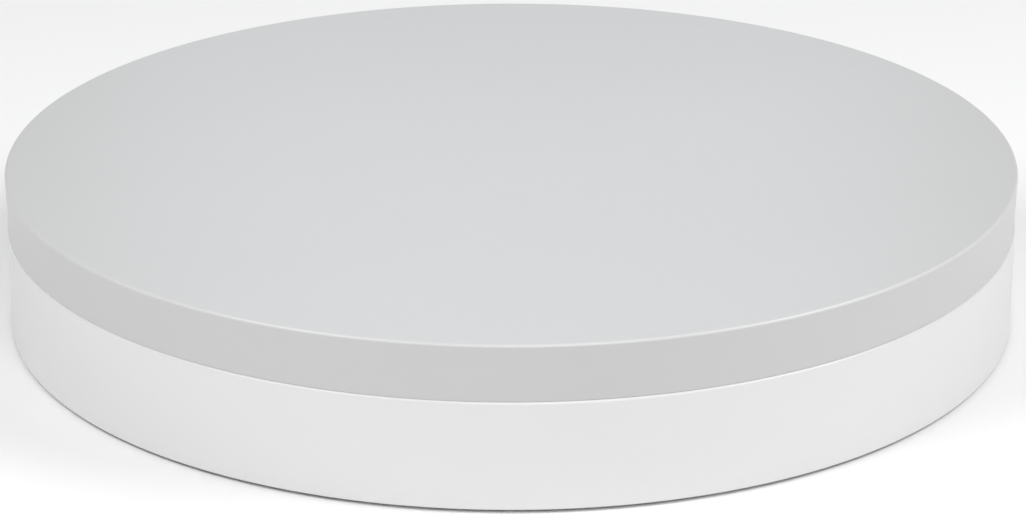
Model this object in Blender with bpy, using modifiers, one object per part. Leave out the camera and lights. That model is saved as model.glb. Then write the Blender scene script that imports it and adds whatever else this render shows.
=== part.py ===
"""Lazy susan turntable: a round platter that turns on a ring of balls over a drum-shaped base.

Metres, +Z up. The origin is on the ground, under the centre of the turntable, and the platter
turns about the Z axis. Run it with: blender --background --python part.py
"""

import math

import bmesh
import bpy
from mathutils import Matrix

MM = 0.001

# Outer shape
DIAMETER = 305.0 * MM
BASE_BAND = 31.3 * MM  # height of the drum's side wall
PLATTER_BAND = 16.4 * MM  # height of the platter's side wall
SEAM = 0.3 * MM  # gap between the two side walls
FOOT_PROUD = 1.0 * MM  # how far the feet stand below the drum
EDGE_ROUND = 0.8 * MM  # the platter's and the drum's upper edges
LOWER_EDGE_ROUND = 0.5 * MM  # the drum's and the cover's lower edges
SKIRT_ROUND = 0.2 * MM  # the platter's lower edge, which stays crisp along the seam

# Walls and gaps
WALL = 2.5 * MM  # side walls
PLATE = 3.0 * MM  # the platter's top and the drum's deck
RIB = 2.0 * MM
BITE = 1.0 * MM  # how far a rib or boss runs into the wall that it stands on
FIT = 0.3 * MM  # gap between pieces that touch
LIP_GAP = 1.0 * MM  # between the platter's skirt and the lip behind it
LIP_WALL = 1.5 * MM
LIP_HEIGHT = 4.0 * MM

# Bearing ring
BALL_COUNT = 12
BALL_RADIUS = 3.0 * MM
BALL_CIRCLE = 70.0 * MM
GROOVE_DEPTH = 1.0 * MM
RACE_INNER = 60.0 * MM
RACE_OUTER = 83.0 * MM
RACE_THICK = 2.5 * MM
CAGE_WIDTH = 10.0 * MM
CAGE_THICK = 1.6 * MM

# Countersunk screws
SCREW_HEAD = 3.3 * MM
SCREW_SHANK = 1.6 * MM
RECESS_WIDTH = 0.9 * MM
RECESS_SPAN = 3.6 * MM
RECESS_DEPTH = 1.0 * MM
RACE_SCREWS = 4
RACE_SCREW_CIRCLE = 77.5 * MM
LOWER_SCREW_LENGTH = 10.0 * MM
UPPER_SCREW_LENGTH = 7.0 * MM
BOSS_RADIUS = 4.5 * MM

# Pivot
PIVOT_SHOULDER = 5.0 * MM
PIVOT_THREAD = 3.0 * MM
PIVOT_THREAD_LENGTH = 10.0 * MM
PIVOT_HEAD = 8.0 * MM
PIVOT_HEAD_THICK = 2.5 * MM
PIVOT_SOCKET = 2.9 * MM
PIVOT_SOCKET_DEPTH = 1.5 * MM
PIVOT_RUNNING = 0.15 * MM  # between the shoulder and the bush
HUB_RADIUS = 10.0 * MM
BUSH_WALL = 2.85 * MM
BUSH_FLANGE = 12.0 * MM
BUSH_FLANGE_THICK = 1.5 * MM
COLLAR_RADIUS = 14.0 * MM
COLLAR_DROP = 5.0 * MM
WASHER_RADIUS = 11.0 * MM
WASHER_THICK = 1.3 * MM

# Underside
COVER_THICK = 2.5 * MM
COVER_INSET = 1.0 * MM  # how far the cover lies above the drum's lower edge
COVER_SCREWS = 6
COVER_SCREW_CIRCLE = 125.0 * MM
COVER_SCREW_LENGTH = 14.0 * MM
FEET = 6
FOOT_CIRCLE = 130.0 * MM
FOOT_RADIUS = 8.0 * MM
FOOT_ROUND = 0.6 * MM
FOOT_RECESS = 1.0 * MM

# Ribs
BASE_RIBS = 6
BASE_RIB_HEIGHT = 8.0 * MM
PLATTER_RIBS = 12
PLATTER_RIB_HEIGHT = 6.0 * MM
SEAT_INNER = 58.0 * MM
SEAT_OUTER = 85.0 * MM

# Facets round each turned piece
OUTER_SIDES = 72
RACE_SIDES = 48
SMALL_SIDES = 24
SCREW_SIDES = 12
SHARP_ANGLE = math.radians(30)
MERGE = 0.00001

# What each body carries, by how its pieces' names begin; each body's empty is on the turning axis
BODIES = {
    "base": (
        "base_drum",
        "lower_race",
        "pivot_bushing",
        "thrust_washer",
        "bottom_cover",
        "cover_screw",
        "foot",
    ),
    "turntable": ("platter", "upper_race", "pivot_screw"),
    "ball_ring": ("ball",),
}

# Levels that follow from the dimensions above
RADIUS = DIAMETER / 2
DRUM_BOTTOM = FOOT_PROUD
DECK_TOP = DRUM_BOTTOM + BASE_BAND
DECK_UNDERSIDE = DECK_TOP - PLATE
SKIRT_BOTTOM = DECK_TOP + SEAM
PLATTER_TOP = SKIRT_BOTTOM + PLATTER_BAND
PLATE_UNDERSIDE = PLATTER_TOP - PLATE
INNER_RADIUS = RADIUS - WALL
LIP_OUTER = INNER_RADIUS - LIP_GAP

GROOVE_RADIUS = BALL_RADIUS + FIT
LOWER_RACE_TOP = DECK_TOP + FIT + RACE_THICK
BALL_LEVEL = LOWER_RACE_TOP - GROOVE_DEPTH + GROOVE_RADIUS
UPPER_RACE_BOTTOM = 2 * BALL_LEVEL - LOWER_RACE_TOP
SEAT_FACE = UPPER_RACE_BOTTOM + RACE_THICK + FIT

BUSH_TOP = DECK_TOP + FIT + BUSH_FLANGE_THICK
COLLAR_BOTTOM = DECK_UNDERSIDE - COLLAR_DROP
BUSH_BOTTOM = COLLAR_BOTTOM - FIT
BUSH_BORE = PIVOT_SHOULDER + PIVOT_RUNNING
BUSH_RADIUS = BUSH_BORE + BUSH_WALL
WASHER_TOP = BUSH_BOTTOM - FIT
PIVOT_HEAD_TOP = WASHER_TOP - WASHER_THICK - FIT
SHOULDER_TOP = BUSH_TOP + 3 * FIT
HUB_FACE = SHOULDER_TOP + FIT
PIVOT_TIP = SHOULDER_TOP + PIVOT_THREAD_LENGTH

COVER_BOTTOM = DRUM_BOTTOM + COVER_INSET
COVER_TOP = COVER_BOTTOM + COVER_THICK
COVER_RADIUS = INNER_RADIUS - FIT
RACE_BOSS_BOTTOM = LOWER_RACE_TOP - LOWER_SCREW_LENGTH - 4 * FIT


def clear_scene():
    for obj in list(bpy.data.objects):
        bpy.data.objects.remove(obj, do_unlink=True)


def new_collection(name, parent=None):
    collection = bpy.data.collections.new(name)
    (parent or bpy.context.scene.collection).children.link(collection)
    return collection


def new_material(name, colour, roughness, metallic=0.0):
    material = bpy.data.materials.new(name)
    material.use_nodes = True
    shader = material.node_tree.nodes["Principled BSDF"]
    shader.inputs["Base Color"].default_value = (*colour, 1.0)
    shader.inputs["Roughness"].default_value = roughness
    shader.inputs["Metallic"].default_value = metallic
    return material


def arc(centre_r, centre_z, radius, start, end, steps):
    """Points (radius, height) on an arc from one angle to another, in degrees, ends included."""
    points = []
    for step in range(steps + 1):
        angle = math.radians(start + (end - start) * step / steps)
        points.append((centre_r + radius * math.cos(angle), centre_z + radius * math.sin(angle)))
    return points


def around(count, circle, start=0.0):
    """Evenly spaced (x, y, angle) places on a circle, the first at the start angle in degrees."""
    places = []
    for index in range(count):
        angle = math.radians(start + 360 * index / count)
        places.append((circle * math.cos(angle), circle * math.sin(angle), angle))
    return places


def new_object(name, mesh, collection, material=None):
    obj = bpy.data.objects.new(name, mesh)
    collection.objects.link(obj)
    if material and not mesh.materials:
        mesh.materials.append(material)
    return obj


def turned(name, profile, sides, collection, material=None, closed=False):
    """A profile of (radius, height) points, running down its outer side, turned about Z."""
    mesh = bpy.data.meshes.new(name)
    edges = [(i, i + 1) for i in range(len(profile) - 1)]
    if closed:
        edges.append((len(profile) - 1, 0))
    mesh.from_pydata([(r, 0, z) for r, z in profile], edges, [])
    obj = new_object(name, mesh, collection, material)
    screw = obj.modifiers.new("turn", "SCREW")
    screw.steps = sides
    screw.render_steps = sides
    screw.use_merge_vertices = True
    screw.merge_threshold = MERGE
    return obj


def helper(obj):
    """Marks an object that only shapes others, so that it isn't a piece of the turntable."""
    obj.hide_render = True
    obj.display_type = "WIRE"
    return obj


def placed(obj, x, y, z, flipped=False):
    obj.location = (x, y, z)
    obj.rotation_euler = (math.pi if flipped else 0.0, 0.0, 0.0)
    return obj


def boolean(obj, operation, other, crossing=False):
    """Joins or cuts another object, or every object of a collection; crossing says it cuts itself."""
    modifier = obj.modifiers.new(operation.lower(), "BOOLEAN")
    modifier.operation = operation
    modifier.use_self = crossing
    if isinstance(other, bpy.types.Collection):
        modifier.operand_type = "COLLECTION"
        modifier.collection = other
    else:
        modifier.object = other


def settle(obj):
    """Makes the modifiers' result the object's own mesh, smooth but for its sharp edges."""
    graph = bpy.context.evaluated_depsgraph_get()
    mesh = bpy.data.meshes.new_from_object(obj.evaluated_get(graph))
    mesh.name = obj.name
    obj.modifiers.clear()
    obj.data = mesh
    mesh.shade_smooth()
    mesh.set_sharp_from_angle(angle=SHARP_ANGLE)
    return obj


def copies(first, places, stem, collection):
    """Objects numbered from 1 that share the first one's mesh: the first takes the first place."""
    for index, (x, y, z, flipped) in enumerate(places):
        obj = first if index == 0 else new_object(f"{stem}_{index + 1}", first.data, collection)
        placed(obj, x, y, z, flipped)


def posts(name, places, radius, low, high, collection):
    """Upright cylinders at these places, as one helper object."""
    bm = bmesh.new()
    for x, y, _ in places:
        matrix = Matrix.Translation((x, y, (low + high) / 2))
        bmesh.ops.create_cone(
            bm,
            cap_ends=True,
            segments=SCREW_SIDES,
            radius1=radius,
            radius2=radius,
            depth=high - low,
            matrix=matrix,
        )
    return helper(object_from(bm, name, collection))


def ribs(name, count, inner, outer, low, high, collection, start=0.0):
    """Radial upright ribs, as one helper object."""
    bm = bmesh.new()
    for x, y, angle in around(count, (inner + outer) / 2, start):
        size = Matrix.Diagonal((outer - inner, RIB, high - low, 1.0))
        turn = Matrix.Rotation(angle, 4, "Z")
        place = Matrix.Translation((x, y, (low + high) / 2))
        bmesh.ops.create_cube(bm, size=1.0, matrix=place @ turn @ size)
    return helper(object_from(bm, name, collection))


def object_from(bm, name, collection, material=None):
    mesh = bpy.data.meshes.new(name)
    bm.to_mesh(mesh)
    bm.free()
    return new_object(name, mesh, collection, material)


def countersink(name, place, length, collection, flipped=False):
    """The hole that a countersunk screw lies in, with a gap all round."""
    mouth = SCREW_HEAD + FIT * math.sqrt(2)
    shank = SCREW_SHANK + FIT
    above = 1.0 * MM
    profile = [
        (0, above),
        (mouth + above, above),
        (shank, shank - mouth),
        (shank, -length),
        (0, -length),
    ]
    cutter = helper(turned(name, profile, SCREW_SIDES, collection))
    return placed(cutter, *place, flipped)


def make_platter(parts, helpers, material):
    """Platter: flat top, skirt, ring seat for the upper race, ribs and a hub with a pilot hole."""
    profile = [(0, PLATTER_TOP)]
    profile += arc(RADIUS - EDGE_ROUND, PLATTER_TOP - EDGE_ROUND, EDGE_ROUND, 90, 0, 3)
    profile += arc(RADIUS - SKIRT_ROUND, SKIRT_BOTTOM + SKIRT_ROUND, SKIRT_ROUND, 0, -90, 2)
    profile += [
        (INNER_RADIUS, SKIRT_BOTTOM),
        (INNER_RADIUS, PLATE_UNDERSIDE),
        (SEAT_OUTER, PLATE_UNDERSIDE),
        (SEAT_OUTER, SEAT_FACE),
        (SEAT_INNER, SEAT_FACE),
        (SEAT_INNER, PLATE_UNDERSIDE),
        (HUB_RADIUS, PLATE_UNDERSIDE),
        (HUB_RADIUS, HUB_FACE),
        (PIVOT_THREAD + FIT, HUB_FACE),
        (PIVOT_THREAD + FIT, PIVOT_TIP + FIT),
        (0, PIVOT_TIP + FIT),
    ]
    platter = turned("platter", profile, OUTER_SIDES, parts, material)
    outer_ribs = ribs(
        "platter_ribs",
        PLATTER_RIBS,
        SEAT_OUTER - BITE,
        INNER_RADIUS + BITE,
        PLATE_UNDERSIDE - PLATTER_RIB_HEIGHT,
        PLATE_UNDERSIDE + BITE,
        helpers,
        start=15,
    )
    inner_ribs = ribs(
        "hub_ribs",
        PLATTER_RIBS // 2,
        HUB_RADIUS - BITE,
        SEAT_INNER + BITE,
        SEAT_FACE + FIT,
        PLATE_UNDERSIDE + BITE,
        helpers,
        start=15,
    )
    pilots = posts(
        "platter_pilot_holes",
        around(RACE_SCREWS, RACE_SCREW_CIRCLE, 45),
        SCREW_SHANK + FIT,
        SEAT_FACE - BITE,
        UPPER_RACE_BOTTOM + UPPER_SCREW_LENGTH + FIT,
        helpers,
    )
    boolean(platter, "UNION", outer_ribs)
    boolean(platter, "UNION", inner_ribs)
    boolean(platter, "DIFFERENCE", pilots)
    settle(platter)


def make_base_drum(parts, helpers, material):
    """Drum: deck with a lip behind the platter's skirt, side wall, ribs, bosses and a collar."""
    bore = BUSH_RADIUS + FIT
    profile = [
        (bore, DECK_TOP),
        (LIP_OUTER - LIP_WALL, DECK_TOP),
        (LIP_OUTER - LIP_WALL, DECK_TOP + LIP_HEIGHT),
        (LIP_OUTER, DECK_TOP + LIP_HEIGHT),
        (LIP_OUTER, DECK_TOP),
    ]
    profile += arc(RADIUS - EDGE_ROUND, DECK_TOP - EDGE_ROUND, EDGE_ROUND, 90, 0, 3)
    profile += arc(
        RADIUS - LOWER_EDGE_ROUND, DRUM_BOTTOM + LOWER_EDGE_ROUND, LOWER_EDGE_ROUND, 0, -90, 2
    )
    profile += [
        (INNER_RADIUS, DRUM_BOTTOM),
        (INNER_RADIUS, DECK_UNDERSIDE),
        (COLLAR_RADIUS, DECK_UNDERSIDE),
        (COLLAR_RADIUS, COLLAR_BOTTOM),
        (bore, COLLAR_BOTTOM),
    ]
    drum = turned("base_drum", profile, OUTER_SIDES, parts, material, closed=True)
    race_places = around(RACE_SCREWS, RACE_SCREW_CIRCLE, 45)
    cover_places = around(COVER_SCREWS, COVER_SCREW_CIRCLE, 30)
    deck_ribs = ribs(
        "deck_ribs",
        BASE_RIBS,
        COLLAR_RADIUS - BITE,
        INNER_RADIUS + BITE,
        DECK_UNDERSIDE - BASE_RIB_HEIGHT,
        DECK_UNDERSIDE + BITE,
        helpers,
    )
    race_bosses = posts(
        "race_bosses", race_places, BOSS_RADIUS, RACE_BOSS_BOTTOM, DECK_UNDERSIDE + BITE, helpers
    )
    cover_bosses = posts(
        "cover_bosses", cover_places, BOSS_RADIUS, COVER_TOP + FIT, DECK_UNDERSIDE + BITE, helpers
    )
    race_pilots = posts(
        "race_pilot_holes",
        race_places,
        SCREW_SHANK + FIT,
        LOWER_RACE_TOP - LOWER_SCREW_LENGTH - FIT,
        DECK_TOP + BITE,
        helpers,
    )
    cover_pilots = posts(
        "cover_pilot_holes",
        cover_places,
        SCREW_SHANK + FIT,
        COVER_TOP - BITE,
        COVER_BOTTOM + COVER_SCREW_LENGTH + FIT,
        helpers,
    )
    boolean(drum, "UNION", deck_ribs)
    boolean(drum, "UNION", race_bosses)
    boolean(drum, "UNION", cover_bosses)
    boolean(drum, "DIFFERENCE", race_pilots)
    boolean(drum, "DIFFERENCE", cover_pilots)
    settle(drum)


def make_races(parts, helpers, material):
    """Two equal grooved rings, face to face, the upper one turned over."""
    half_groove = math.degrees(math.acos((GROOVE_RADIUS - GROOVE_DEPTH) / GROOVE_RADIUS))
    profile = [(RACE_INNER, 0)]
    profile += arc(
        BALL_CIRCLE,
        GROOVE_RADIUS - GROOVE_DEPTH,
        GROOVE_RADIUS,
        -90 - half_groove,
        -90 + half_groove,
        4,
    )
    profile += [(RACE_OUTER, 0), (RACE_OUTER, -RACE_THICK), (RACE_INNER, -RACE_THICK)]
    lower = turned("lower_race", profile, RACE_SIDES, parts, material, closed=True)
    holes = new_collection("race_screw_holes", helpers)
    for index, (x, y, _) in enumerate(around(RACE_SCREWS, RACE_SCREW_CIRCLE, 45)):
        countersink(f"race_screw_hole_{index + 1}", (x, y, 0), 2 * RACE_THICK, holes)
    boolean(lower, "DIFFERENCE", holes)
    settle(lower)
    upper = new_object("upper_race", lower.data, parts)
    placed(lower, 0, 0, LOWER_RACE_TOP)
    placed(upper, 0, 0, UPPER_RACE_BOTTOM, flipped=True)


def make_ball_cage(parts, helpers, material):
    """Flat ring with a round pocket for each ball."""
    inner = BALL_CIRCLE - CAGE_WIDTH / 2
    outer = BALL_CIRCLE + CAGE_WIDTH / 2
    low = BALL_LEVEL - CAGE_THICK / 2
    high = BALL_LEVEL + CAGE_THICK / 2
    profile = [(inner, high), (outer, high), (outer, low), (inner, low)]
    cage = turned("ball_cage", profile, RACE_SIDES, parts, material, closed=True)
    pockets = posts(
        "ball_pockets", around(BALL_COUNT, BALL_CIRCLE), GROOVE_RADIUS + FIT, low - MM, high + MM, helpers
    )
    boolean(cage, "DIFFERENCE", pockets)
    settle(cage)


def make_balls(parts, material):
    bm = bmesh.new()
    bmesh.ops.create_uvsphere(bm, u_segments=12, v_segments=8, radius=BALL_RADIUS)
    first = settle(object_from(bm, "ball_1", parts, material))
    places = [(x, y, BALL_LEVEL, False) for x, y, _ in around(BALL_COUNT, BALL_CIRCLE)]
    copies(first, places, "ball", parts)


def make_screws(stem, places, length, parts, helpers, material):
    """Countersunk screws with a cross recess; a screw that isn't flipped points down."""
    taper = SCREW_HEAD - SCREW_SHANK
    profile = [
        (0, 0),
        (SCREW_HEAD, 0),
        (SCREW_SHANK, -taper),
        (SCREW_SHANK, -length + SCREW_SHANK / 2),
        (SCREW_SHANK / 2, -length),
        (0, -length),
    ]
    first = turned(f"{stem}_1", profile, SCREW_SIDES, parts, material)
    bm = bmesh.new()
    for spans in ((RECESS_SPAN, RECESS_WIDTH), (RECESS_WIDTH, RECESS_SPAN)):
        bmesh.ops.create_cube(bm, size=1.0, matrix=Matrix.Diagonal((*spans, 2 * RECESS_DEPTH, 1.0)))
    recess = helper(object_from(bm, f"{stem}_recess", helpers))
    boolean(first, "DIFFERENCE", recess, crossing=True)
    settle(first)
    copies(first, places, stem, parts)


def make_pivot(parts, helpers, steel, nylon):
    """Shoulder screw up through the deck's bush into the platter's hub, with its washer."""
    head_bottom = PIVOT_HEAD_TOP - PIVOT_HEAD_THICK
    screw_profile = [
        (0, PIVOT_TIP),
        (PIVOT_THREAD, PIVOT_TIP),
        (PIVOT_THREAD, SHOULDER_TOP),
        (PIVOT_SHOULDER, SHOULDER_TOP),
        (PIVOT_SHOULDER, PIVOT_HEAD_TOP),
        (PIVOT_HEAD, PIVOT_HEAD_TOP),
        (PIVOT_HEAD, head_bottom),
        (0, head_bottom),
    ]
    screw = turned("pivot_screw", screw_profile, SMALL_SIDES, parts, steel)
    bm = bmesh.new()
    bmesh.ops.create_cone(
        bm,
        cap_ends=True,
        segments=6,
        radius1=PIVOT_SOCKET,
        radius2=PIVOT_SOCKET,
        depth=2 * PIVOT_SOCKET_DEPTH,
        matrix=Matrix.Translation((0, 0, head_bottom)),
    )
    socket = helper(object_from(bm, "pivot_socket", helpers))
    boolean(screw, "DIFFERENCE", socket)
    settle(screw)

    bush_profile = [
        (BUSH_FLANGE, BUSH_TOP),
        (BUSH_FLANGE, DECK_TOP + FIT),
        (BUSH_RADIUS, DECK_TOP + FIT),
        (BUSH_RADIUS, BUSH_BOTTOM),
        (BUSH_BORE, BUSH_BOTTOM),
        (BUSH_BORE, BUSH_TOP),
    ]
    settle(turned("pivot_bushing", bush_profile, SMALL_SIDES, parts, nylon, closed=True))

    washer_bottom = WASHER_TOP - WASHER_THICK
    washer_profile = [
        (WASHER_RADIUS, WASHER_TOP),
        (WASHER_RADIUS, washer_bottom),
        (BUSH_BORE, washer_bottom),
        (BUSH_BORE, WASHER_TOP),
    ]
    settle(turned("thrust_washer", washer_profile, SMALL_SIDES, parts, steel, closed=True))


def make_bottom_cover(parts, helpers, material):
    """Disc that closes the drum, with countersunk screw holes and a shallow recess for each foot."""
    profile = [
        (0, COVER_TOP),
        (COVER_RADIUS, COVER_TOP),
        (COVER_RADIUS, COVER_BOTTOM + LOWER_EDGE_ROUND),
        (COVER_RADIUS - LOWER_EDGE_ROUND, COVER_BOTTOM),
        (0, COVER_BOTTOM),
    ]
    cover = turned("bottom_cover", profile, OUTER_SIDES, parts, material)
    holes = new_collection("cover_holes", helpers)
    for index, (x, y, _) in enumerate(around(COVER_SCREWS, COVER_SCREW_CIRCLE, 30)):
        place = (x, y, COVER_BOTTOM)
        countersink(f"cover_screw_hole_{index + 1}", place, 2 * COVER_THICK, holes, flipped=True)
    recess = [
        (0, FOOT_RECESS),
        (FOOT_RADIUS + FIT, FOOT_RECESS),
        (FOOT_RADIUS + FIT, -FOOT_RECESS),
        (0, -FOOT_RECESS),
    ]
    for index, (x, y, _) in enumerate(around(FEET, FOOT_CIRCLE)):
        cutter = helper(turned(f"foot_recess_{index + 1}", recess, SMALL_SIDES, holes))
        placed(cutter, x, y, COVER_BOTTOM)
    boolean(cover, "DIFFERENCE", holes)
    settle(cover)


def make_feet(parts, material):
    top = COVER_BOTTOM + FOOT_RECESS - FIT
    profile = [(0, top), (FOOT_RADIUS, top)]
    profile += arc(FOOT_RADIUS - FOOT_ROUND, FOOT_ROUND, FOOT_ROUND, 0, -90, 2)
    profile += [(0, 0)]
    first = settle(turned("foot_1", profile, SMALL_SIDES, parts, material))
    places = [(x, y, 0, False) for x, y, _ in around(FEET, FOOT_CIRCLE)]
    copies(first, places, "foot", parts)


def gather_bodies(parts):
    """Hangs each piece on its body's empty: the standing base, the turntable and the ring of balls."""
    pieces = list(parts.objects)
    for name, stems in BODIES.items():
        body = new_object(f"{name}_body", None, parts)
        for piece in pieces:
            if piece.name.startswith(stems):
                piece.parent = body


def main():
    clear_scene()
    parts = new_collection("lazy_susan_turntable")
    helpers = new_collection("cutters")
    grey_plastic = new_material("grey_plastic", (0.62, 0.63, 0.64), 0.38)
    white_plastic = new_material("white_plastic", (0.84, 0.84, 0.84), 0.42)
    race_steel = new_material("race_steel", (0.55, 0.55, 0.56), 0.32, 1.0)
    ball_steel = new_material("ball_steel", (0.62, 0.62, 0.63), 0.12, 1.0)
    zinc_steel = new_material("zinc_steel", (0.60, 0.60, 0.58), 0.30, 1.0)
    nylon = new_material("nylon", (0.80, 0.79, 0.74), 0.50)
    rubber = new_material("rubber", (0.45, 0.45, 0.45), 0.80)

    make_platter(parts, helpers, grey_plastic)
    make_base_drum(parts, helpers, white_plastic)
    make_races(parts, helpers, race_steel)
    make_ball_cage(parts, helpers, nylon)
    make_balls(parts, ball_steel)
    make_pivot(parts, helpers, zinc_steel, nylon)
    make_bottom_cover(parts, helpers, white_plastic)
    make_feet(parts, rubber)

    race_places = around(RACE_SCREWS, RACE_SCREW_CIRCLE, 45)
    lower = [(x, y, LOWER_RACE_TOP, False) for x, y, _ in race_places]
    upper = [(x, y, UPPER_RACE_BOTTOM, True) for x, y, _ in race_places]
    cover = [(x, y, COVER_BOTTOM, True) for x, y, _ in around(COVER_SCREWS, COVER_SCREW_CIRCLE, 30)]
    make_screws("lower_race_screw", lower, LOWER_SCREW_LENGTH, parts, helpers, zinc_steel)
    make_screws("upper_race_screw", upper, UPPER_SCREW_LENGTH, parts, helpers, zinc_steel)
    make_screws("cover_screw", cover, COVER_SCREW_LENGTH, parts, helpers, zinc_steel)
    gather_bodies(parts)


main()
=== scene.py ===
"""The looks of the lazy susan turntable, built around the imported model. Metres, +Z up."""

import math

import bmesh
import bpy
from mathutils import Matrix, Vector


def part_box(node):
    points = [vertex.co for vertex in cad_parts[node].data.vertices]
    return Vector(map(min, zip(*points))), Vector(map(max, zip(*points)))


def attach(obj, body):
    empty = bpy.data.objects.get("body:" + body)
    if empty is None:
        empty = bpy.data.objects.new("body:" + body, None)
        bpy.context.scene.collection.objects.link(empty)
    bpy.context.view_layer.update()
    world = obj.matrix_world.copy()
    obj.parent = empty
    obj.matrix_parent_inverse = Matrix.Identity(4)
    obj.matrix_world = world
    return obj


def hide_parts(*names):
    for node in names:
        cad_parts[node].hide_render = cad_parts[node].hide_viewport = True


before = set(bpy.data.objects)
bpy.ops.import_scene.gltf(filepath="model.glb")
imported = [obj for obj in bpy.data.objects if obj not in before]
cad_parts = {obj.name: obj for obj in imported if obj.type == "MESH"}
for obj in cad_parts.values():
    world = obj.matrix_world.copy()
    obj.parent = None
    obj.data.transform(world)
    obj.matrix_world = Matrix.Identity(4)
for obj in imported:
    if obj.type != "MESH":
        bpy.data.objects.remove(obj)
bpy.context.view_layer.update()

MM = 0.001

# Camera: the photograph's viewing angle
LENS = 123.3  # on Blender's 36 mm sensor
CAMERA_ELEVATION = math.radians(21.26)
CAMERA_DISTANCE = 1.079
AIM = Vector((0.0005, 0.0, 0.0146))

# Lights and floor
LIGHT_DISTANCE = 1.9
LIGHT_AIM = 0.03  # the lights' target, on the centre line
SOFTBOX = (0.9, 0.9)
WHITE = (1.0, 1.0, 1.0)
COOL = (0.86, 0.93, 1.0)  # the rear light, whose reflection tints the platter's middle
WORLD_STRENGTH = 0.3
FLOOR_RADIUS = 6.0
FLOOR_SIDES = 96
FLOOR_COLOURS = ((0.93, 0.93, 0.93), (0.91, 0.91, 0.91))

# Facets of the fine meshes
OUTER_SIDES = 288
RING_SIDES = 192
SMALL_SIDES = 48
SCREW_SIDES = 32
FILLET_STEPS = 8
SUPPORT = 0.1 * MM  # an extra loop beside each rounded edge keeps the flat faces flat
MERGE = 0.000001
SHARP_ANGLE = math.radians(35)

# Colours: each finish varies between two, and the mouldings' rounded top edges have a third that sets
# how bright their highlight line looks: a lighter painted highlight on the grey, a slightly darker
# painted tone on the white
LIGHT_GREY = (0.582, 0.582, 0.582)
SHADED_GREY = (0.570, 0.570, 0.570)
# painted highlight: the grey platter's rounded top edge is painted lighter than the rest of the grey
PAINTED_HIGHLIGHT_GREY = (0.66, 0.66, 0.66)
LIGHT_WHITE = (0.764, 0.764, 0.763)
SHADED_WHITE = (0.751, 0.751, 0.750)
# painted edge tone: the white drum's rounded top edge is painted a little darker, which dims its
# highlight line
PAINTED_EDGE_WHITE = (0.74, 0.74, 0.74)
NYLON = ((0.80, 0.79, 0.74), (0.76, 0.75, 0.70))
RACE_STEEL = ((0.60, 0.60, 0.61), (0.52, 0.52, 0.54))
SCREW_STEEL = ((0.66, 0.66, 0.64), (0.58, 0.58, 0.57))
BALL_STEEL = ((0.64, 0.64, 0.66), (0.56, 0.57, 0.59))
RUBBER = ((0.42, 0.42, 0.43), (0.36, 0.36, 0.37))
# how far in from the rounded top edge the painted edge colour and the glossier edge reach
PAINTED_EDGE_REACH = 1.0 * MM
EDGE_ROUGHNESS_SHIFT = -0.03  # what the edge mask adds to the roughness of the rounded top edge, making it a little glossier
MIX_FIRST, MIX_SECOND, MIX_RESULT = 6, 7, 2  # the Mix node's colour sockets

# Sizes that the frame's boxes don't give
SEAM = 0.3 * MM
SEAM_CLOSING = 0.14 * MM  # each side wall reaches this far into the seam, which looks closed
FIT = 0.3 * MM
WALL = 2.5 * MM
PLATE = 3.0 * MM
RIB = 2.0 * MM
RIB_TAPER = 0.8  # a rib's width at its free edge, as a share of its width at the root
BITE = 1.0 * MM
EDGE_ROUND = 0.8 * MM
LOWER_EDGE_ROUND = 0.5 * MM
SKIRT_ROUND = 0.1 * MM
SKIRT_DRAFT = 0.5 * MM  # the skirt narrows towards the seam, where the drum's round edge shows
INNER_ROUND = 0.4 * MM
SMALL_ROUND = 0.2 * MM
LIP_GAP = 1.0 * MM
LIP_WALL = 1.5 * MM
RACE_INNER = 60.0 * MM
GROOVE_DEPTH = 1.0 * MM
CAGE_WIDTH = 10.0 * MM
SEAT_INNER = 58.0 * MM
SEAT_OUTER = 85.0 * MM
HUB_RADIUS = 10.0 * MM
COLLAR_RADIUS = 14.0 * MM
COLLAR_DROP = 5.0 * MM
BOSS_RADIUS = 4.5 * MM
BUSH_BORE = 5.15 * MM
BUSH_RADIUS = 8.0 * MM
BUSH_FLANGE_THICK = 1.5 * MM
SHOULDER_RADIUS = 5.0 * MM
PIVOT_THREAD = 3.0 * MM
PIVOT_THREAD_LENGTH = 10.0 * MM
PIVOT_HEAD_THICK = 2.5 * MM
PIVOT_SOCKET = 2.9 * MM
PIVOT_SOCKET_DEPTH = 1.5 * MM
SHANK = 1.6 * MM
SCREW_HEAD = 3.3 * MM
THREAD_PITCH = 1.2 * MM
THREAD_DEPTH = 0.3 * MM
THREAD_FLANK = 0.4  # the flank and crest are shares of the pitch
THREAD_CREST = 0.1
SCREW_TIP = 0.4  # the tip's radius, as a share of the shank's
RECESS_SPAN = 3.6 * MM
RECESS_WIDTH = 0.9 * MM
RECESS_DEPTH = 1.0 * MM
RECESS_TAPER = 0.7  # the recess narrows with depth
PLATTER_RIBS = 12
PLATTER_RIB_HEIGHT = 6.0 * MM
BASE_RIBS = 6
BASE_RIB_HEIGHT = 8.0 * MM
FOOT_ROUND = 0.6 * MM
FOOT_RECESS = 1.0 * MM
FOOT_DISH = 0.6  # the dish's radius, as a share of the foot's

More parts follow.
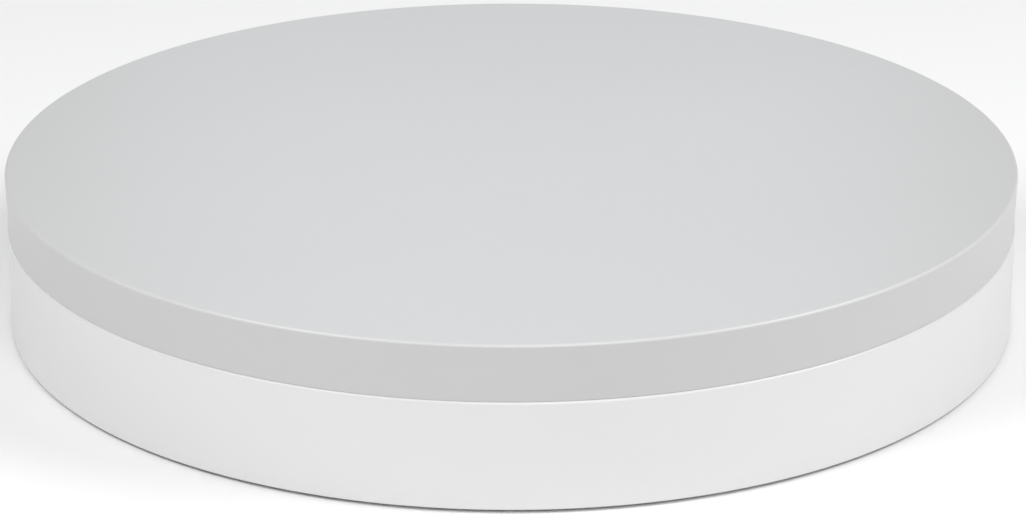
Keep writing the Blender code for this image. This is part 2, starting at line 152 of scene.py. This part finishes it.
# Levels and radii that the frame gives
PLATTER_LOW, PLATTER_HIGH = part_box("platter")
DRUM_LOW, DRUM_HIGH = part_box("base_drum")
COVER_LOW, COVER_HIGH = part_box("bottom_cover")
CAGE_LOW, CAGE_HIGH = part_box("ball_cage")
BUSH_LOW, BUSH_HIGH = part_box("pivot_bushing")
WASHER_LOW, WASHER_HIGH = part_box("thrust_washer")
PIVOT_LOW, PIVOT_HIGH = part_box("pivot_screw")
RADIUS = PLATTER_HIGH.x
PLATTER_TOP = PLATTER_HIGH.z
PLATE_UNDERSIDE = PLATTER_TOP - PLATE
SKIRT_BOTTOM = PLATTER_LOW.z
DECK_TOP = SKIRT_BOTTOM - SEAM
DECK_UNDERSIDE = DECK_TOP - PLATE
DRUM_BOTTOM = DRUM_LOW.z
INNER_RADIUS = RADIUS - WALL
LIP_OUTER = INNER_RADIUS - LIP_GAP
SEAT_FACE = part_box("upper_race")[1].z + FIT
SHOULDER_TOP = PIVOT_HIGH.z - PIVOT_THREAD_LENGTH
PIVOT_HEAD_TOP = PIVOT_LOW.z + PIVOT_HEAD_THICK


def middle(node):
    low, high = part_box(node)
    return (low + high) / 2


def nodes_called(stem):
    """The CAD nodes named with this stem and a number, in the order of their numbers."""
    names = [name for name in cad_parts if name.rpartition("_")[0] == stem]
    return sorted((n for n in names if n.rpartition("_")[2].isdigit()), key=lambda n: (len(n), n))


BALLS = nodes_called("ball")
FEET = nodes_called("foot")
COVER_SCREWS = nodes_called("cover_screw")
LOWER_SCREWS = nodes_called("lower_race_screw")
UPPER_SCREWS = nodes_called("upper_race_screw")
BALL_CIRCLE = middle(BALLS[0]).xy.length
BALL_RADIUS = (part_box(BALLS[0])[1].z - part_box(BALLS[0])[0].z) / 2


# Meshes


def new_object(name, mesh, material=None):
    obj = bpy.data.objects.new(name, mesh)
    bpy.context.scene.collection.objects.link(obj)
    if material and not mesh.materials:
        mesh.materials.append(material)
    return obj


def rounded(corners, closed=False):
    """A profile of (radius, height) points from corners that each have a round of their own size."""
    points = []
    for index, (r, z, size) in enumerate(corners):
        corner = Vector((r, z))
        is_end = not closed and index in (0, len(corners) - 1)
        if is_end or size == 0:
            points.append(tuple(corner))
            continue
        before = (Vector(corners[index - 1][:2]) - corner).normalized()
        after = (Vector(corners[(index + 1) % len(corners)][:2]) - corner).normalized()
        half = before.angle(after) / 2
        reach = size / math.tan(half)
        centre = corner + (before + after).normalized() * size / math.sin(half)
        start = corner + before * reach - centre
        turn = math.pi - 2 * half
        if before.cross(after) > 0:
            turn = -turn
        points.append(tuple(corner + before * (reach + SUPPORT)))
        for step in range(FILLET_STEPS + 1):
            angle = turn * step / FILLET_STEPS
            points.append(tuple(centre + Matrix.Rotation(angle, 2) @ start))
        points.append(tuple(corner + after * (reach + SUPPORT)))
    return points


def turned(name, profile, sides, material=None, closed=False):
    """A profile that runs down its outer side, turned about the Z axis."""
    mesh = bpy.data.meshes.new(name)
    edges = [(i, i + 1) for i in range(len(profile) - 1)]
    if closed:
        edges.append((len(profile) - 1, 0))
    mesh.from_pydata([(r, 0, z) for r, z in profile], edges, [])
    obj = new_object(name, mesh, material)
    screw = obj.modifiers.new("turn", "SCREW")
    screw.steps = sides
    screw.render_steps = sides
    screw.use_merge_vertices = True
    screw.merge_threshold = MERGE
    return settle(obj)


def settle(obj):
    """Makes the modifiers' result the object's own mesh, smooth but for its sharp edges."""
    graph = bpy.context.evaluated_depsgraph_get()
    mesh = bpy.data.meshes.new_from_object(obj.evaluated_get(graph))
    old = obj.data
    obj.modifiers.clear()
    obj.data = mesh
    bpy.data.meshes.remove(old)
    mesh.name = obj.name
    mesh.shade_smooth()
    mesh.set_sharp_from_angle(angle=SHARP_ANGLE)
    return obj


def boolean(obj, operation, tool, crossing=False):
    """Joins the tool to an object or cuts it away, then removes the tool."""
    modifier = obj.modifiers.new(operation.lower(), "BOOLEAN")
    modifier.operation = operation
    modifier.use_self = crossing
    modifier.object = tool
    settle(obj)
    bpy.data.objects.remove(tool)


def tool_from(bm):
    mesh = bpy.data.meshes.new("tool")
    bm.to_mesh(mesh)
    bm.free()
    return new_object("tool", mesh)


def around(count, circle, start=0.0):
    """Evenly spaced (x, y, angle) places on a circle, the first at the start angle in degrees."""
    places = []
    for index in range(count):
        angle = math.radians(start + 360 * index / count)
        places.append((circle * math.cos(angle), circle * math.sin(angle), angle))
    return places


def ribs(count, inner, outer, low, high, start=0.0):
    """Radial upright ribs, thinner at the free edge as moulded ribs are."""
    bm = bmesh.new()
    for x, y, angle in around(count, (inner + outer) / 2, start):
        size = Matrix.Diagonal((outer - inner, RIB, high - low, 1.0))
        turn = Matrix.Rotation(angle, 4, "Z")
        place = Matrix.Translation((x, y, (low + high) / 2))
        made = bmesh.ops.create_cube(bm, size=1.0)
        for vert in made["verts"]:
            if vert.co.z < 0:
                vert.co.y *= RIB_TAPER
        bmesh.ops.transform(bm, matrix=place @ turn @ size, verts=made["verts"])
    return tool_from(bm)


def posts(centres, radius, low, high):
    """Upright cylinders of these heights at the centres' x and y."""
    bm = bmesh.new()
    for centre in centres:
        bmesh.ops.create_cone(
            bm,
            cap_ends=True,
            segments=SCREW_SIDES,
            radius1=radius,
            radius2=radius,
            depth=high - low,
            matrix=Matrix.Translation((centre.x, centre.y, (low + high) / 2)),
        )
    return tool_from(bm)


def countersinks(centres, level, length, upwards):
    """Cutters for countersunk holes whose mouths are at this level, running up or down."""
    mouth = SCREW_HEAD + FIT * math.sqrt(2)
    hole = SHANK + FIT
    above = 1.0 * MM
    outline = [
        (0, above),
        (mouth + above, above),
        (hole, hole - mouth),
        (hole, -length),
        (0, -length),
    ]
    first = turned("tool", outline, SCREW_SIDES)
    bm = bmesh.new()
    for centre in centres:
        before = set(bm.verts)
        bm.from_mesh(first.data)
        verts = [v for v in bm.verts if v not in before]
        flip = Matrix.Rotation(math.pi if upwards else 0.0, 4, "X")
        place = Matrix.Translation((centre.x, centre.y, level))
        bmesh.ops.transform(bm, matrix=place @ flip, verts=verts)
    bpy.data.objects.remove(first)
    return tool_from(bm)


def dress(piece, body, slot, *nodes):
    """Makes a piece stand for its CAD nodes on a body: hangs it on the body and hides the nodes. The
    slot argument is not used.
    """
    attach(piece, body)
    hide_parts(*nodes)


# Materials


def new_material(name):
    material = bpy.data.materials.new(name)
    material.use_nodes = True
    nodes = material.node_tree.nodes
    shader = nodes["Principled BSDF"]
    coords = nodes.new("ShaderNodeTexCoord")
    return material, material.node_tree, shader, coords.outputs["Object"]


def noise(tree, coords, scale, detail=2.0, roughness=0.5):
    texture = tree.nodes.new("ShaderNodeTexNoise")
    texture.inputs["Scale"].default_value = scale
    texture.inputs["Detail"].default_value = detail
    texture.inputs["Roughness"].default_value = roughness
    tree.links.new(coords, texture.inputs["Vector"])
    return texture.outputs["Fac"]


def spread(tree, value, low, high):
    """A noise's middle range, 0.3 to 0.7, spread from low to high."""
    ramp = tree.nodes.new("ShaderNodeMapRange")
    ramp.inputs["From Min"].default_value = 0.3
    ramp.inputs["From Max"].default_value = 0.7
    ramp.inputs["To Min"].default_value = low
    ramp.inputs["To Max"].default_value = high
    tree.links.new(value, ramp.inputs["Value"])
    return ramp.outputs["Result"]


def blend_colours(tree, value, first, second):
    """A blend of two colours, of which the first may be another node's output."""
    mix = tree.nodes.new("ShaderNodeMix")
    mix.data_type = "RGBA"
    if isinstance(first, bpy.types.NodeSocket):
        tree.links.new(first, mix.inputs[MIX_FIRST])
    else:
        mix.inputs[MIX_FIRST].default_value = (*first, 1.0)
    mix.inputs[MIX_SECOND].default_value = (*second, 1.0)
    tree.links.new(value, mix.inputs["Factor"])
    return mix.outputs[MIX_RESULT]


def colour_skin(tree, shader, value, colours):
    """Colours the whole surface with a blend of two colours."""
    blend = blend_colours(tree, spread(tree, value, 0.0, 1.0), *colours)
    tree.links.new(blend, shader.inputs["Base Color"])


def bump(tree, shader, height, strength, distance):
    node = tree.nodes.new("ShaderNodeBump")
    node.inputs["Strength"].default_value = strength
    node.inputs["Distance"].default_value = distance
    tree.links.new(height, node.inputs["Height"])
    tree.links.new(node.outputs["Normal"], shader.inputs["Normal"])


def steps_up(tree, value, low, high):
    """Zero below low, then a smooth rise to one at high."""
    ramp = tree.nodes.new("ShaderNodeMapRange")
    ramp.interpolation_type = "SMOOTHSTEP"
    ramp.inputs["From Min"].default_value = low
    ramp.inputs["From Max"].default_value = high
    tree.links.new(value, ramp.inputs["Value"])
    return ramp.outputs["Result"]


def times(tree, first, second):
    product = tree.nodes.new("ShaderNodeMath")
    product.operation = "MULTIPLY"
    tree.links.new(first, product.inputs[0])
    tree.links.new(second, product.inputs[1])
    return product.outputs["Value"]


def painted_edge_mask(tree, coords, level):
    """How far a point is on the rounded outer edge at this level: the mask of the painted edge colour
    (a painted highlight on the grey, a slightly darker painted tone on the white) and of the glossier
    edge.
    """
    split = tree.nodes.new("ShaderNodeSeparateXYZ")
    tree.links.new(coords, split.inputs["Vector"])
    flat = tree.nodes.new("ShaderNodeCombineXYZ")
    tree.links.new(split.outputs["X"], flat.inputs["X"])
    tree.links.new(split.outputs["Y"], flat.inputs["Y"])
    length = tree.nodes.new("ShaderNodeVectorMath")
    length.operation = "LENGTH"
    tree.links.new(flat.outputs["Vector"], length.inputs[0])
    full = PAINTED_EDGE_REACH / 3
    near_wall = steps_up(tree, length.outputs["Value"], RADIUS - PAINTED_EDGE_REACH, RADIUS - full)
    near_top = steps_up(tree, split.outputs["Z"], level - PAINTED_EDGE_REACH, level - full)
    patchy = spread(tree, noise(tree, coords, scale=60.0, detail=3.0), 0.8, 1.0)
    return times(tree, times(tree, near_wall, near_top), patchy)


def satin_plastic(name, light, dark, painted_edge_colour, edge_level):
    """Satin moulded plastic with faint broad clouding, a very fine mould grain and a glossier rounded
    top edge whose colour is painted to set the brightness of its highlight line.
    """
    material, tree, shader, coords = new_material(name)
    edge = painted_edge_mask(tree, coords, edge_level)
    clouds = spread(tree, noise(tree, coords, scale=9.0), 0.0, 1.0)
    skin = blend_colours(tree, clouds, light, dark)
    # the rounded top edge's colour is painted light: a painted highlight on the grey, a slightly
    # darker painted tone on the white that dims its highlight line
    tree.links.new(blend_colours(tree, edge, skin, painted_edge_colour), shader.inputs["Base Color"])
    streaks = noise(tree, coords, scale=700.0, detail=3.0, roughness=0.6)
    gloss = spread(tree, streaks, 0.30, 0.36)
    edge_gloss = tree.nodes.new("ShaderNodeMath")
    edge_gloss.operation = "MULTIPLY_ADD"
    edge_gloss.inputs[1].default_value = EDGE_ROUGHNESS_SHIFT
    tree.links.new(edge, edge_gloss.inputs[0])
    tree.links.new(gloss, edge_gloss.inputs[2])
    tree.links.new(edge_gloss.outputs["Value"], shader.inputs["Roughness"])
    bump(tree, shader, noise(tree, coords, scale=2600.0), strength=0.35, distance=0.004 * MM)
    return material


def moulded_nylon(name):
    """Natural nylon: creamy, a little waxy, with faint flow marks."""
    material, tree, shader, coords = new_material(name)
    flow = noise(tree, coords, scale=120.0, detail=3.0)
    colour_skin(tree, shader, flow, NYLON)
    tree.links.new(spread(tree, flow, 0.42, 0.55), shader.inputs["Roughness"])
    grain = noise(tree, coords, scale=1800.0, detail=3.0)
    bump(tree, shader, grain, strength=0.4, distance=0.01 * MM)
    return material


def plated_steel(name, colours, smooth, rough):
    """Zinc-plated steel: blotchy plating with fine rings left by turning or rolling."""
    material, tree, shader, coords = new_material(name)
    blotches = noise(tree, coords, scale=220.0, detail=4.0, roughness=0.6)
    colour_skin(tree, shader, blotches, colours)
    rings = tree.nodes.new("ShaderNodeTexWave")
    rings.wave_type = "RINGS"
    rings.rings_direction = "Z"
    rings.inputs["Scale"].default_value = 800.0
    rings.inputs["Distortion"].default_value = 1.5
    rings.inputs["Detail"].default_value = 2.0
    tree.links.new(coords, rings.inputs["Vector"])
    tree.links.new(spread(tree, rings.outputs["Fac"], smooth, rough), shader.inputs["Roughness"])
    bump(tree, shader, rings.outputs["Fac"], strength=0.2, distance=0.005 * MM)
    shader.inputs["Metallic"].default_value = 1.0
    return material


def polished_steel(name):
    """Bearing balls: a mirror finish with a light haze of fine scratches."""
    material, tree, shader, coords = new_material(name)
    haze = noise(tree, coords, scale=900.0, detail=6.0, roughness=0.7)
    colour_skin(tree, shader, haze, BALL_STEEL)
    tree.links.new(spread(tree, haze, 0.06, 0.16), shader.inputs["Roughness"])
    bump(tree, shader, haze, strength=0.08, distance=0.002 * MM)
    shader.inputs["Metallic"].default_value = 1.0
    return material


def silicone(name):
    """Grey rubber feet: matte, with a fine grain."""
    material, tree, shader, coords = new_material(name)
    cloud = noise(tree, coords, scale=160.0, detail=3.0)
    colour_skin(tree, shader, cloud, RUBBER)
    tree.links.new(spread(tree, cloud, 0.68, 0.82), shader.inputs["Roughness"])
    grain = noise(tree, coords, scale=3500.0, detail=3.0)
    bump(tree, shader, grain, strength=0.6, distance=0.02 * MM)
    return material


# Pieces of the turning platter


def make_platter(material):
    pilot = PIVOT_THREAD + FIT
    pilot_top = PIVOT_HIGH.z + FIT
    hub_face = SHOULDER_TOP + FIT
    skirt_bottom = SKIRT_BOTTOM - SEAM_CLOSING
    profile = rounded(
        [
            (0, PLATTER_TOP, 0),
            (RADIUS, PLATTER_TOP, EDGE_ROUND),
            (RADIUS - SKIRT_DRAFT, skirt_bottom, SKIRT_ROUND),
            (INNER_RADIUS, skirt_bottom, SMALL_ROUND),
            (INNER_RADIUS, PLATE_UNDERSIDE, INNER_ROUND),
            (SEAT_OUTER, PLATE_UNDERSIDE, INNER_ROUND),
            (SEAT_OUTER, SEAT_FACE, SMALL_ROUND),
            (SEAT_INNER, SEAT_FACE, SMALL_ROUND),
            (SEAT_INNER, PLATE_UNDERSIDE, INNER_ROUND),
            (HUB_RADIUS, PLATE_UNDERSIDE, INNER_ROUND),
            (HUB_RADIUS, hub_face, SMALL_ROUND),
            (pilot, hub_face, SMALL_ROUND),
            (pilot, pilot_top, SMALL_ROUND),
            (0, pilot_top, 0),
        ]
    )
    platter = turned("fine_platter", profile, OUTER_SIDES, material)
    outer = ribs(
        PLATTER_RIBS,
        SEAT_OUTER - BITE,
        INNER_RADIUS + BITE,
        PLATE_UNDERSIDE - PLATTER_RIB_HEIGHT,
        PLATE_UNDERSIDE + BITE,
        start=15,
    )
    inner = ribs(
        PLATTER_RIBS // 2,
        HUB_RADIUS - BITE,
        SEAT_INNER + BITE,
        SEAT_FACE + FIT,
        PLATE_UNDERSIDE + BITE,
        start=15,
    )
    holes = posts(
        [middle(name) for name in UPPER_SCREWS],
        SHANK + FIT,
        SEAT_FACE - BITE,
        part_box(UPPER_SCREWS[0])[1].z + FIT,
    )
    boolean(platter, "UNION", outer)
    boolean(platter, "UNION", inner)
    boolean(platter, "DIFFERENCE", holes)
    dress(platter, "turntable", "platter_plastic", "platter")


def make_pivot_screw(material):
    tip = PIVOT_HIGH.z
    head = PIVOT_HIGH.x
    thread_low = SHOULDER_TOP + 2 * SMALL_ROUND
    profile = [(0, tip), (PIVOT_THREAD - 2 * THREAD_DEPTH, tip)]
    profile += thread(PIVOT_THREAD, tip - THREAD_DEPTH, thread_low)
    profile += rounded(
        [
            (PIVOT_THREAD - THREAD_DEPTH, thread_low, 0),
            (PIVOT_THREAD - THREAD_DEPTH, SHOULDER_TOP, 0),
            (SHOULDER_RADIUS, SHOULDER_TOP, SMALL_ROUND),
            (SHOULDER_RADIUS, PIVOT_HEAD_TOP, SMALL_ROUND),
            (head, PIVOT_HEAD_TOP, SMALL_ROUND),
            (head, PIVOT_LOW.z, 2 * SMALL_ROUND),
            (0, PIVOT_LOW.z, 0),
        ]
    )
    screw = turned("fine_pivot_screw", profile, SMALL_SIDES, material)
    bm = bmesh.new()
    bmesh.ops.create_cone(
        bm,
        cap_ends=True,
        segments=6,
        radius1=PIVOT_SOCKET,
        radius2=PIVOT_SOCKET,
        depth=2 * PIVOT_SOCKET_DEPTH,
        matrix=Matrix.Translation((0, 0, PIVOT_LOW.z)),
    )
    boolean(screw, "DIFFERENCE", tool_from(bm))
    dress(screw, "turntable", "screw_steel", "pivot_screw")


def thread(radius, high, low):
    """A thread's outline, drawn as rings, from a high level down to a low one."""
    root = radius - THREAD_DEPTH
    flank = THREAD_PITCH * THREAD_FLANK
    crest = THREAD_PITCH * THREAD_CREST
    points = []
    for turn in range(int((high - low) / THREAD_PITCH)):
        top = high - turn * THREAD_PITCH
        points.append((root, top))
        points.append((radius, top - flank))
        points.append((radius, top - flank - crest))
        points.append((root, top - 2 * flank - crest))
    return points


# Pieces of both: the screws and races


def make_screws(names, length, upwards, body, material):
    """Countersunk screws with a cross recess, each on its own CAD node."""
    taper = SCREW_HEAD - SHANK
    profile = rounded([(0, 0, 0), (SCREW_HEAD, 0, SMALL_ROUND), (SHANK, -taper, 0)])[:-1]
    profile += thread(SHANK, -taper - THREAD_DEPTH, SHANK - length)
    profile += [(SHANK * SCREW_TIP, -length), (0, -length)]
    first = turned(f"fine_{names[0]}", profile, SCREW_SIDES, material)
    bm = bmesh.new()
    for spans in ((RECESS_SPAN, RECESS_WIDTH), (RECESS_WIDTH, RECESS_SPAN)):
        made = bmesh.ops.create_cube(bm, size=1.0)
        size = Matrix.Diagonal((*spans, 2 * RECESS_DEPTH, 1.0))
        for vert in made["verts"]:
            if vert.co.z < 0:
                vert.co.xy *= RECESS_TAPER
        bmesh.ops.transform(bm, matrix=size, verts=made["verts"])
    boolean(first, "DIFFERENCE", tool_from(bm), crossing=True)
    for index, name in enumerate(names):
        low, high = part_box(name)
        screw = first if index == 0 else new_object(f"fine_{name}", first.data)
        centre = middle(name)
        screw.location = (centre.x, centre.y, low.z if upwards else high.z)
        screw.rotation_euler = (math.pi if upwards else 0.0, 0.0, 0.0)
        dress(screw, body, "screw_steel", name)


def make_race(name, material):
    """A pressed ring with a ball groove, modelled with its groove up and turned over if need be."""
    low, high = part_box(name)
    thick = high.z - low.z
    groove = BALL_RADIUS + FIT
    half = math.degrees(math.acos((groove - GROOVE_DEPTH) / groove))
    steps = 2 * FILLET_STEPS
    profile = []
    for step in range(steps + 1):
        angle = math.radians(-90 - half + 2 * half * step / steps)
        r = BALL_CIRCLE + groove * math.cos(angle)
        profile.append((r, groove - GROOVE_DEPTH + groove * math.sin(angle)))
    corners = [(high.x, 0), (high.x, -thick), (RACE_INNER, -thick), (RACE_INNER, 0)]
    profile += rounded([(r, z, SMALL_ROUND) for r, z in corners], closed=True)
    race = turned(f"fine_{name}", profile, RING_SIDES, material, closed=True)
    upper = name == "upper_race"
    names = UPPER_SCREWS if upper else LOWER_SCREWS
    boolean(race, "DIFFERENCE", countersinks([middle(n) for n in names], 0, 2 * thick, False))
    race.location.z = low.z if upper else high.z
    race.rotation_euler.x = math.pi if upper else 0.0
    dress(race, "turntable" if upper else "base", "race_steel", name)


# Pieces of the ball ring


def make_cage(material):
    inner = BALL_CIRCLE - CAGE_WIDTH / 2
    outer = CAGE_HIGH.x
    low, high = CAGE_LOW.z, CAGE_HIGH.z
    corners = [(inner, high), (outer, high), (outer, low), (inner, low)]
    profile = rounded([(r, z, SMALL_ROUND) for r, z in corners], closed=True)
    cage = turned("fine_ball_cage", profile, RING_SIDES, material, closed=True)
    pockets = posts([middle(n) for n in BALLS], BALL_RADIUS + 2 * FIT, low - MM, high + MM)
    boolean(cage, "DIFFERENCE", pockets)
    dress(cage, "ball_ring", "nylon", "ball_cage")


def make_balls(material):
    bm = bmesh.new()
    bmesh.ops.create_icosphere(bm, subdivisions=4, radius=BALL_RADIUS)
    mesh = bpy.data.meshes.new("fine_ball")
    bm.to_mesh(mesh)
    bm.free()
    mesh.shade_smooth()
    for name in BALLS:
        ball = new_object(f"fine_{name}", mesh, material)
        ball.location = middle(name)
        dress(ball, "ball_ring", "ball_steel", name)


# Pieces of the standing base


def make_drum(material):
    bore = BUSH_RADIUS + FIT
    collar_bottom = DECK_UNDERSIDE - COLLAR_DROP
    lip_inner = LIP_OUTER - LIP_WALL
    ledge = DECK_TOP + SEAM_CLOSING
    corners = [
        (bore, DECK_TOP, SMALL_ROUND),
        (lip_inner, DECK_TOP, INNER_ROUND),
        (lip_inner, DRUM_HIGH.z, SMALL_ROUND),
        (LIP_OUTER, DRUM_HIGH.z, SMALL_ROUND),
        (LIP_OUTER, ledge, INNER_ROUND),
        (RADIUS, ledge, EDGE_ROUND),
        (RADIUS, DRUM_BOTTOM, LOWER_EDGE_ROUND),
        (INNER_RADIUS, DRUM_BOTTOM, SMALL_ROUND),
        (INNER_RADIUS, DECK_UNDERSIDE, INNER_ROUND),
        (COLLAR_RADIUS, DECK_UNDERSIDE, INNER_ROUND),
        (COLLAR_RADIUS, collar_bottom, SMALL_ROUND),
        (bore, collar_bottom, SMALL_ROUND),
    ]
    drum = turned("fine_base_drum", rounded(corners, closed=True), OUTER_SIDES, material, closed=True)
    race_places = [middle(name) for name in LOWER_SCREWS]
    cover_places = [middle(name) for name in COVER_SCREWS]
    race_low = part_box(LOWER_SCREWS[0])[0].z
    cover_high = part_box(COVER_SCREWS[0])[1].z
    rib_bottom = DECK_UNDERSIDE - BASE_RIB_HEIGHT
    deck_ribs = ribs(
        BASE_RIBS, COLLAR_RADIUS - BITE, INNER_RADIUS + BITE, rib_bottom, DECK_UNDERSIDE + BITE
    )
    boolean(drum, "UNION", deck_ribs)
    boolean(drum, "UNION", posts(race_places, BOSS_RADIUS, race_low - 4 * FIT, DECK_TOP - BITE))
    boolean(drum, "UNION", posts(cover_places, BOSS_RADIUS, COVER_HIGH.z + FIT, DECK_TOP - BITE))
    pilot = SHANK + FIT
    boolean(drum, "DIFFERENCE", posts(race_places, pilot, race_low - FIT, DECK_TOP + BITE))
    boolean(drum, "DIFFERENCE", posts(cover_places, pilot, COVER_LOW.z, cover_high + FIT))
    dress(drum, "base", "drum_plastic", "base_drum")


def make_cover(material):
    radius, high, low = COVER_HIGH.x, COVER_HIGH.z, COVER_LOW.z
    corners = [
        (0, high, 0),
        (radius, high, SMALL_ROUND),
        (radius, low, LOWER_EDGE_ROUND),
        (0, low, 0),
    ]
    cover = turned("fine_bottom_cover", rounded(corners), OUTER_SIDES, material)
    screw_places = [middle(name) for name in COVER_SCREWS]
    foot_places = [middle(name) for name in FEET]
    foot_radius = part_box(FEET[0])[1].x - foot_places[0].x
    boolean(cover, "DIFFERENCE", countersinks(screw_places, low, 2 * (high - low), True))
    recesses = posts(foot_places, foot_radius + FIT, low - BITE, low + FOOT_RECESS)
    boolean(cover, "DIFFERENCE", recesses)
    dress(cover, "base", "drum_plastic", "bottom_cover")


def make_feet(material):
    low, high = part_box(FEET[0])
    radius = high.x - middle(FEET[0]).x
    thick = high.z - low.z
    dish = radius * FOOT_DISH
    profile = rounded(
        [
            (0, thick, 0),
            (radius, thick, SMALL_ROUND),
            (radius, 0, FOOT_ROUND),
            (dish, 0, SMALL_ROUND),
            (dish - FIT, FIT, SMALL_ROUND),
            (0, FIT, 0),
        ]
    )
    first = turned(f"fine_{FEET[0]}", profile, SMALL_SIDES, material)
    for index, name in enumerate(FEET):
        foot = first if index == 0 else new_object(f"fine_{name}", first.data)
        foot.location = (middle(name).x, middle(name).y, low.z)
        dress(foot, "base", "rubber", name)


def make_bushing(material):
    low, high = BUSH_LOW.z, BUSH_HIGH.z
    flange_bottom = high - BUSH_FLANGE_THICK
    corners = [
        (BUSH_HIGH.x, high),
        (BUSH_HIGH.x, flange_bottom),
        (BUSH_RADIUS, flange_bottom),
        (BUSH_RADIUS, low),
        (BUSH_BORE, low),
        (BUSH_BORE, high),
    ]
    profile = rounded([(r, z, SMALL_ROUND) for r, z in corners], closed=True)
    bush = turned("fine_pivot_bushing", profile, SMALL_SIDES, material, closed=True)
    dress(bush, "base", "nylon", "pivot_bushing")


def make_washer(material):
    low, high, radius = WASHER_LOW.z, WASHER_HIGH.z, WASHER_HIGH.x
    corners = [(radius, high), (radius, low), (BUSH_BORE, low), (BUSH_BORE, high)]
    profile = rounded([(r, z, SMALL_ROUND) for r, z in corners], closed=True)
    washer = turned("fine_thrust_washer", profile, SMALL_SIDES, material, closed=True)
    dress(washer, "base", "screw_steel", "thrust_washer")


# Studio


def make_floor():
    bm = bmesh.new()
    bmesh.ops.create_circle(bm, cap_ends=True, segments=FLOOR_SIDES, radius=FLOOR_RADIUS)
    mesh = bpy.data.meshes.new("floor")
    bm.to_mesh(mesh)
    bm.free()
    material, tree, shader, coords = new_material("pale_floor")
    colour_skin(tree, shader, noise(tree, coords, scale=3.0), FLOOR_COLOURS)
    shader.inputs["Roughness"].default_value = 0.9
    shader.inputs["Specular IOR Level"].default_value = 0.2
    floor = new_object("floor", mesh, material)


def make_light(name, azimuth, elevation, size, power, colour=WHITE):
    """A softbox that faces the object; azimuth 0 is in front of it and 90 on its right, in degrees."""
    light = bpy.data.lights.new(name, "AREA")
    light.shape = "RECTANGLE"
    light.size, light.size_y = size
    light.energy = power
    light.color = colour
    obj = bpy.data.objects.new(name, light)
    around_z = Matrix.Rotation(math.radians(azimuth), 3, "Z")
    upwards = Matrix.Rotation(math.radians(-elevation), 3, "X")
    away = around_z @ upwards @ Vector((0, -1, 0))
    obj.location = Vector((0, 0, LIGHT_AIM)) + away * LIGHT_DISTANCE
    obj.rotation_euler = (-away).to_track_quat("-Z", "Y").to_euler()
    bpy.context.scene.collection.objects.link(obj)


def make_lights():
    world = bpy.data.worlds.new("studio")
    bpy.context.scene.world = world
    world.use_nodes = True
    background = world.node_tree.nodes["Background"]
    background.inputs["Color"].default_value = (*WHITE, 1.0)
    background.inputs["Strength"].default_value = WORLD_STRENGTH
    make_light("left_front_softbox", azimuth=-60, elevation=50, size=SOFTBOX, power=14.5)
    make_light("front_softbox", azimuth=10, elevation=42, size=SOFTBOX, power=10.3)
    make_light("right_softbox", azimuth=80, elevation=45, size=SOFTBOX, power=15.5)
    make_light("high_rear_softbox", azimuth=180, elevation=50, size=(1.6, 0.7), power=1.0)
    make_light("rear_softbox", azimuth=180, elevation=25, size=(0.7, 0.5), power=1.6, colour=COOL)


def make_camera():
    data = bpy.data.cameras.new("camera")
    data.lens = LENS
    camera = bpy.data.objects.new("camera", data)
    bpy.context.scene.collection.objects.link(camera)
    away = Vector((0, -math.cos(CAMERA_ELEVATION), math.sin(CAMERA_ELEVATION)))
    camera.location = AIM + away * CAMERA_DISTANCE
    camera.rotation_euler = (-away).to_track_quat("-Z", "Y").to_euler()
    bpy.context.scene.camera = camera


def main():
    scene = bpy.context.scene
    scene.view_settings.view_transform = "Standard"
    # the grey's rounded top edge gets its painted highlight colour
    grey = satin_plastic("grey_satin_plastic", LIGHT_GREY, SHADED_GREY, PAINTED_HIGHLIGHT_GREY, PLATTER_TOP)
    # the white's rounded top edge gets its painted, slightly darker tone that dims the highlight line
    white = satin_plastic("white_satin_plastic", LIGHT_WHITE, SHADED_WHITE, PAINTED_EDGE_WHITE, DECK_TOP)
    nylon = moulded_nylon("natural_nylon")
    race_steel = plated_steel("race_steel", RACE_STEEL, smooth=0.24, rough=0.38)
    screw_steel = plated_steel("screw_steel", SCREW_STEEL, smooth=0.22, rough=0.36)
    ball_steel = polished_steel("ball_steel")
    rubber = silicone("grey_rubber")

    make_camera()
    make_platter(grey)
    make_pivot_screw(screw_steel)
    make_race("upper_race", race_steel)
    make_race("lower_race", race_steel)
    make_cage(nylon)
    make_balls(ball_steel)
    make_drum(white)
    make_cover(white)
    make_feet(rubber)
    make_bushing(nylon)
    make_washer(screw_steel)
    for names, upwards, body in (
        (LOWER_SCREWS, False, "base"),
        (UPPER_SCREWS, True, "turntable"),
        (COVER_SCREWS, True, "base"),
    ):
        low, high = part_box(names[0])
        make_screws(names, high.z - low.z, upwards, body, screw_steel)
    make_floor()
    make_lights()


main()
